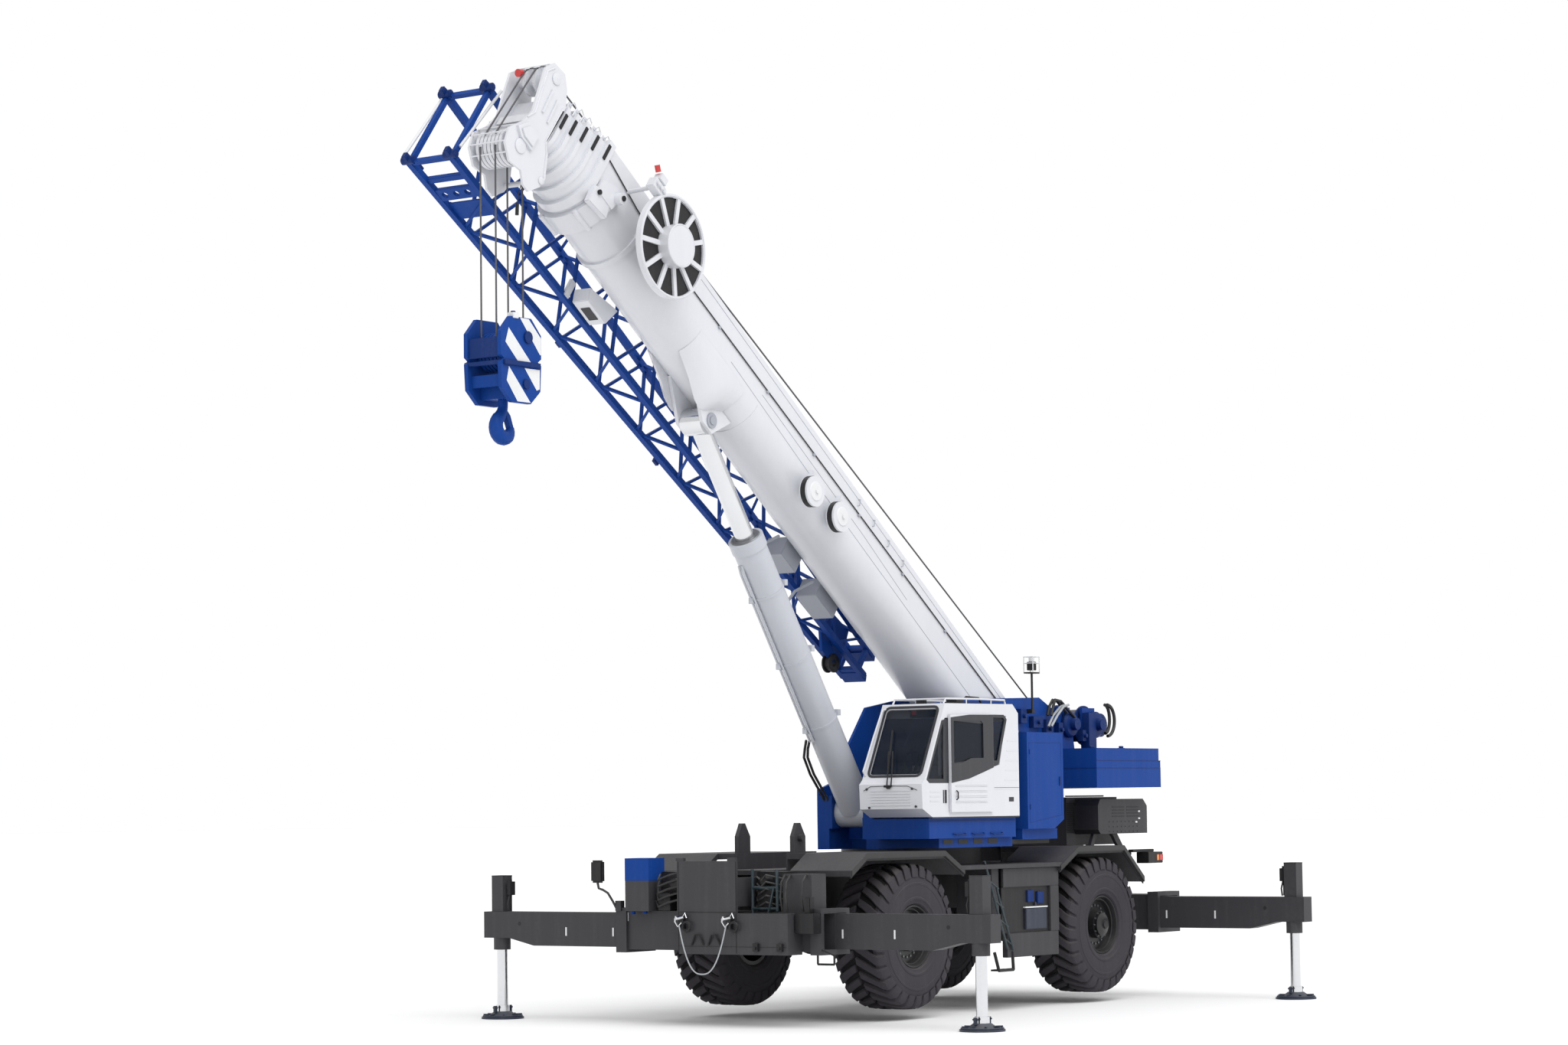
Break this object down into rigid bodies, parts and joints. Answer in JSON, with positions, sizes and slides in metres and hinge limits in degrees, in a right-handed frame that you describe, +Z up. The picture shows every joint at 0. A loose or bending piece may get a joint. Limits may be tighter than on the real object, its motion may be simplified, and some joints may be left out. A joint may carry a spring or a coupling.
{
  "type": "mobile crane",
  "caption": "Rough-terrain crane on outriggers: telescopic boom raised, lattice jib stowed beside it, slewing cab and counterweight, hook block, steered wheels.",
  "frame": {"origin": "centre of the bounding box on the ground", "axes": "+X to the front of the carrier, +Y to its left side, +Z up"},
  "size_m": [13.416, 7.928, 11.6988],
  "materials": {
    "blue_paint": "gloss",
    "white_paint": "gloss",
    "dark_paint": "satin",
    "tyre_rubber": "matte",
    "chrome_rod": "gloss",
    "grey_steel": "satin",
    "slate_paint": "satin",
    "black_plastic": "matte"
  },
  "bodies": {
    "carrier": {"carrier_frame": "dark_paint", "carrier_deck": "dark_paint", "slew_bearing": "dark_paint", "axle_front": "dark_paint", "axle_rear": "dark_paint", "engine_block": "grey_steel", "engine_hood": "dark_paint", "side_boxes": "dark_paint", "front_box": "dark_paint", "boom_rest": "dark_paint"},
    "turntable": {"turntable": "blue_paint", "counterweight": "blue_paint", "side_cabinet": "blue_paint", "cab_shell": "white_paint", "cab_interior": "black_plastic"},
    "steer_fl": {"knuckle_fl": "dark_paint"},
    "wheel_fl": {"tyre_fl": "tyre_rubber", "rim_fl": "dark_paint"},
    "steer_fr": {"knuckle_fr": "dark_paint"},
    "wheel_fr": {"tyre_fr": "tyre_rubber", "rim_fr": "dark_paint"},
    "steer_rl": {"knuckle_rl": "dark_paint"},
    "wheel_rl": {"tyre_rl": "tyre_rubber", "rim_rl": "dark_paint"},
    "steer_rr": {"knuckle_rr": "dark_paint"},
    "wheel_rr": {"tyre_rr": "tyre_rubber", "rim_rr": "dark_paint"},
    "beam_front_left": {"beam_front_left": "dark_paint"},
    "jack_front_left": {"jack_front_left": "chrome_rod", "float_front_left": "slate_paint"},
    "beam_front_right": {"beam_front_right": "dark_paint"},
    "jack_front_right": {"jack_front_right": "chrome_rod", "float_front_right": "slate_paint"},
    "beam_rear_left": {"beam_rear_left": "dark_paint"},
    "jack_rear_left": {"jack_rear_left": "chrome_rod", "float_rear_left": "slate_paint"},
    "beam_rear_right": {"beam_rear_right": "dark_paint"},
    "jack_rear_right": {"jack_rear_right": "chrome_rod", "float_rear_right": "slate_paint"},
    "cab_door": {"cab_door": "white_paint"},
    "winch_main": {"winch_main": "blue_paint"},
    "winch_aux": {"winch_aux": "blue_paint"},
    "boom_base": {"boom_base": "white_paint", "jib": "blue_paint", "jib_mounts": "blue_paint", "reel_mounts": "white_paint"},
    "boom_2": {"boom_section_2": "white_paint"},
    "boom_3": {"boom_section_3": "white_paint"},
    "boom_4": {"boom_section_4": "white_paint"},
    "boom_5": {"boom_section_5": "white_paint"},
    "boom_6": {"boom_section_6": "white_paint", "boom_head": "white_paint", "head_sheaves": "white_paint"},
    "cord_reel": {"cord_reel": "white_paint", "reel_cord": "black_plastic"},
    "hoist": {"hoist_falls": "grey_steel"},
    "hook_block": {"hook_block": "blue_paint"},
    "hook": {"hook": "blue_paint"},
    "lift_rod": {"lift_rod": "chrome_rod"},
    "lift_barrel": {"lift_barrel": "white_paint"}
  },
  "joints": [
    {"name": "slew", "type": "hinge", "parent": "carrier", "child": "turntable", "pos_m": [-2.173, 0, 2.3], "axis": [0, 0, 1], "continuous": true},
    {"name": "steer_fl", "type": "hinge", "parent": "carrier", "child": "steer_fl", "pos_m": [0.157, 0.88, 1.061], "axis": [0, 0, 1], "range_deg": [-24, 24]},
    {"name": "roll_fl", "type": "hinge", "parent": "steer_fl", "child": "wheel_fl", "pos_m": [0.157, 1.28, 1.061], "axis": [0, 1, 0], "continuous": true},
    {"name": "steer_fr", "type": "hinge", "parent": "carrier", "child": "steer_fr", "pos_m": [0.157, -0.88, 1.061], "axis": [0, 0, 1], "range_deg": [-24, 24]},
    {"name": "roll_fr", "type": "hinge", "parent": "steer_fr", "child": "wheel_fr", "pos_m": [0.157, -1.28, 1.061], "axis": [0, 1, 0], "continuous": true},
    {"name": "steer_rl", "type": "hinge", "parent": "carrier", "child": "steer_rl", "pos_m": [-4.503, 0.88, 1.061], "axis": [0, 0, 1], "range_deg": [-24, 24]},
    {"name": "roll_rl", "type": "hinge", "parent": "steer_rl", "child": "wheel_rl", "pos_m": [-4.503, 1.28, 1.061], "axis": [0, 1, 0], "continuous": true},
    {"name": "steer_rr", "type": "hinge", "parent": "carrier", "child": "steer_rr", "pos_m": [-4.503, -0.88, 1.061], "axis": [0, 0, 1], "range_deg": [-24, 24]},
    {"name": "roll_rr", "type": "hinge", "parent": "steer_rr", "child": "wheel_rr", "pos_m": [-4.503, -1.28, 1.061], "axis": [0, 1, 0], "continuous": true},
    {"name": "beam_front_left_in", "type": "slide", "parent": "carrier", "child": "beam_front_left", "axis": [0, -1, 0], "range_m": [0, 1.9]},
    {"name": "jack_front_left_up", "type": "slide", "parent": "beam_front_left", "child": "jack_front_left", "axis": [0, 0, 1], "range_m": [0, 0.55]},
    {"name": "beam_front_right_in", "type": "slide", "parent": "carrier", "child": "beam_front_right", "axis": [0, 1, 0], "range_m": [0, 1.9]},
    {"name": "jack_front_right_up", "type": "slide", "parent": "beam_front_right", "child": "jack_front_right", "axis": [0, 0, 1], "range_m": [0, 0.55]},
    {"name": "beam_rear_left_in", "type": "slide", "parent": "carrier", "child": "beam_rear_left", "axis": [0, -1, 0], "range_m": [0, 1.9]},
    {"name": "jack_rear_left_up", "type": "slide", "parent": "beam_rear_left", "child": "jack_rear_left", "axis": [0, 0, 1], "range_m": [0, 0.55]},
    {"name": "beam_rear_right_in", "type": "slide", "parent": "carrier", "child": "beam_rear_right", "axis": [0, 1, 0], "range_m": [0, 1.9]},
    {"name": "jack_rear_right_up", "type": "slide", "parent": "beam_rear_right", "child": "jack_rear_right", "axis": [0, 0, 1], "range_m": [0, 0.55]},
    {"name": "cab_door_slide", "type": "slide", "parent": "turntable", "child": "cab_door", "axis": [-1, 0, 0], "range_m": [0, 0.7]},
    {"name": "winch_main_turn", "type": "hinge", "parent": "turntable", "child": "winch_main", "pos_m": [-5.373, 0, 3.85], "axis": [0, 1, 0], "continuous": true},
    {"name": "winch_aux_turn", "type": "hinge", "parent": "turntable", "child": "winch_aux", "pos_m": [-6.073, 0, 3.85], "axis": [0, 1, 0], "continuous": true},
    {"name": "boom_lift", "type": "hinge", "parent": "turntable", "child": "boom_base", "pos_m": [-3.973, 0, 3.4], "axis": [0, -1, 0], "range_deg": [-38.6, 43.4]},
    {"name": "tele_2", "type": "slide", "parent": "boom_base", "child": "boom_2", "axis": [0.7976, 0, 0.6032], "range_m": [0, 8.6]},
    {"name": "tele_3", "type": "slide", "parent": "boom_2", "child": "boom_3", "axis": [0.7976, 0, 0.6032], "range_m": [0, 8.6]},
    {"name": "tele_4", "type": "slide", "parent": "boom_3", "child": "boom_4", "axis": [0.7976, 0, 0.6032], "range_m": [0, 8.6]},
    {"name": "tele_5", "type": "slide", "parent": "boom_4", "child": "boom_5", "axis": [0.7976, 0, 0.6032], "range_m": [0, 8.6]},
    {"name": "tele_6", "type": "slide", "parent": "boom_5", "child": "boom_6", "axis": [0.7976, 0, 0.6032], "range_m": [0, 8.6]},
    {"name": "cord_reel_turn", "type": "hinge", "parent": "boom_base", "child": "cord_reel", "pos_m": [4.19426, 0.9, 9.57685], "axis": [0, 1, 0], "continuous": true},
    {"name": "hoist_hang", "type": "hinge", "parent": "boom_6", "child": "hoist", "pos_m": [6.33797, 0, 10.60007], "axis": [0, -1, 0], "range_deg": [-43.5, 38.7]},
    {"name": "hook_hoist", "type": "slide", "parent": "hoist", "child": "hook_block", "axis": [0, 0, -1], "range_m": [-1.25, 0], "deforming": ["hoist_falls"]},
    {"name": "hook_turn", "type": "hinge", "parent": "hook_block", "child": "hook", "pos_m": [6.33797, 0, 7.5], "axis": [0, 0, 1], "continuous": true},
    {"name": "lift_eye", "type": "hinge", "parent": "boom_base", "child": "lift_rod", "pos_m": [2.5193, 0, 7.62051], "axis": [0, -1, 0], "range_deg": [-11.6, 13.1]},
    {"name": "lift_stroke", "type": "slide", "parent": "lift_rod", "child": "lift_barrel", "axis": [-0.5697, 0, -0.8218], "range_m": [-1.45, 1.63]}
  ],
  "couplings": [
    {"joint": "steer_fr", "follows": "steer_fl", "ratio": 1},
    {"joint": "steer_rr", "follows": "steer_rl", "ratio": 1},
    {"joint": "tele_4", "follows": "tele_3", "ratio": 1},
    {"joint": "tele_5", "follows": "tele_3", "ratio": 1},
    {"joint": "tele_6", "follows": "tele_3", "ratio": 1},
    {"joint": "hoist_hang", "follows": "boom_lift", "ratio": -1},
    {"joint": "lift_eye", "follows": "boom_lift", "ratio": 0.3},
    {"joint": "lift_stroke", "follows": "boom_lift", "m_per_rad": 2.15}
  ]
}
